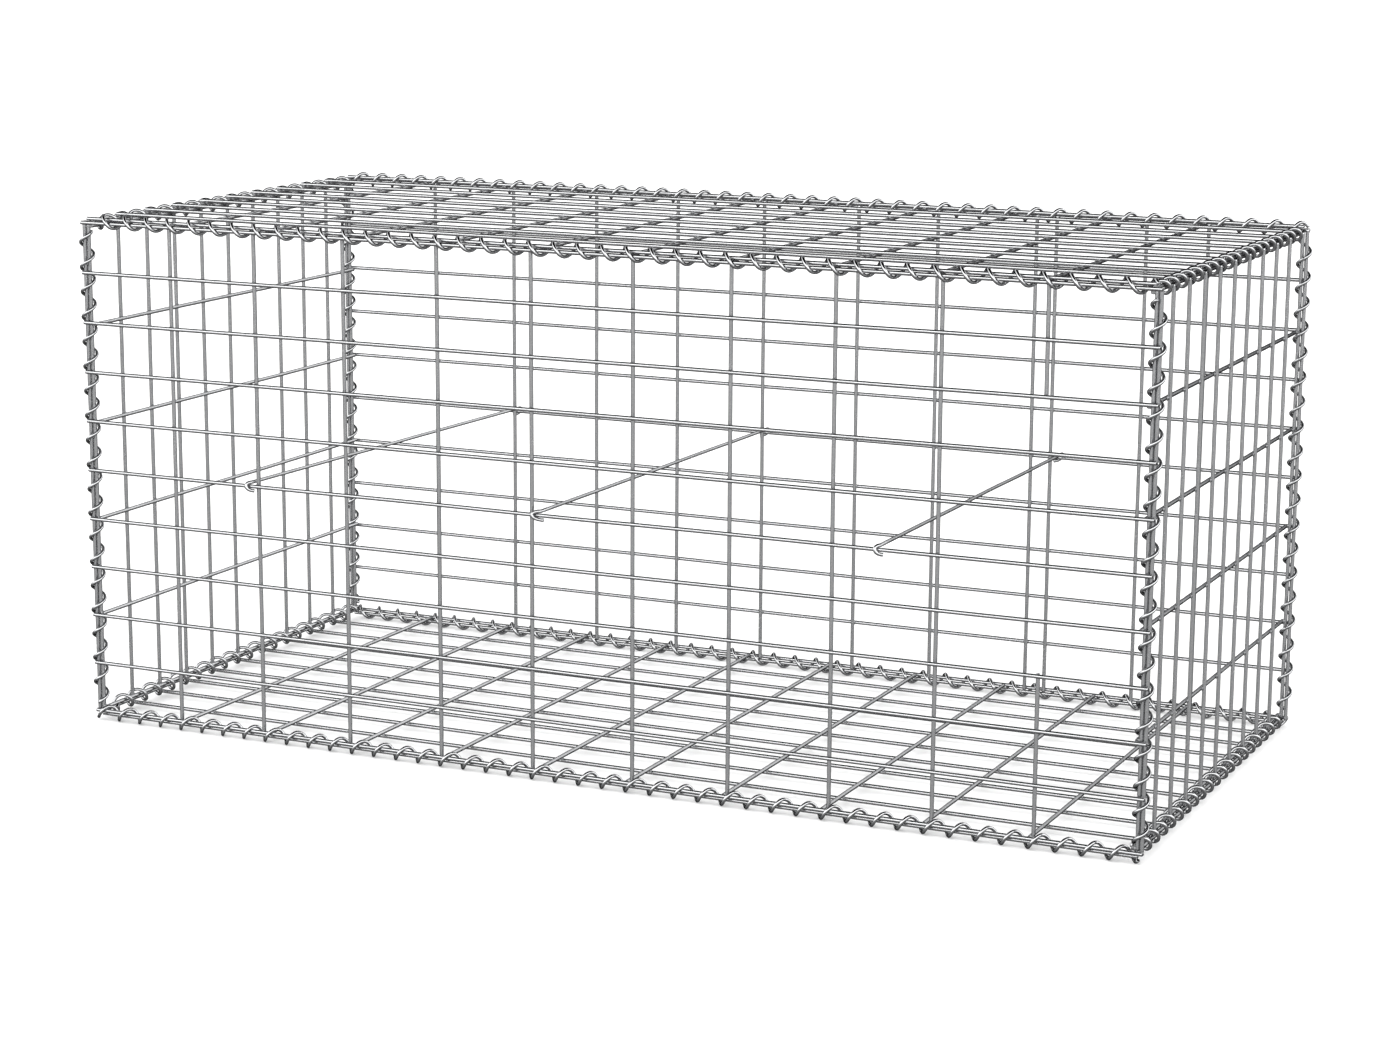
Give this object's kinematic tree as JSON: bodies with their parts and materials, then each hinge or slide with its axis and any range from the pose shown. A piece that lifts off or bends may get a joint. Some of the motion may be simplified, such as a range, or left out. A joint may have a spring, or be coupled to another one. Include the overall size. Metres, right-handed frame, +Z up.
{
  "type": "gabion basket",
  "caption": "Long rectangular basket of welded galvanised wire mesh with a mesh lid, laced along every edge by wire spirals and held across by wire ties, to be filled with stone.",
  "frame": {"origin": "middle of the footprint, at the underside of the two lowest spirals that the basket rests on", "axes": "+X along the length towards the right end, the front panel faces -Y, +Z up"},
  "size_m": [1.116, 0.5206, 0.519],
  "materials": {
    "mesh_zinc": "galvanised mesh wire, light grey, dull satin with a faint spangle",
    "spiral_zinc": "galvanised spring wire, bright grey, smoother and shinier than the mesh",
    "tie_zinc": "galvanised tie wire, mid grey, dull"
  },
  "bodies": {
    "root": {"front_panel": "mesh_zinc", "back_panel": "mesh_zinc", "left_end_panel": "mesh_zinc", "right_end_panel": "mesh_zinc", "base_panel": "mesh_zinc", "lid_panel": "mesh_zinc", "spiral_front_top": "spiral_zinc", "spiral_front_bottom": "spiral_zinc", "spiral_back_top": "spiral_zinc", "spiral_back_bottom": "spiral_zinc", "spiral_front_left": "spiral_zinc", "spiral_front_right": "spiral_zinc", "spiral_back_left": "spiral_zinc", "spiral_back_right": "spiral_zinc", "spiral_left_top": "spiral_zinc", "spiral_left_bottom": "spiral_zinc", "spiral_right_top": "spiral_zinc", "spiral_right_bottom": "spiral_zinc", "tie_wire_left": "tie_zinc", "tie_wire_middle": "tie_zinc", "tie_wire_right": "tie_zinc"}
  },
  "joints": []
}
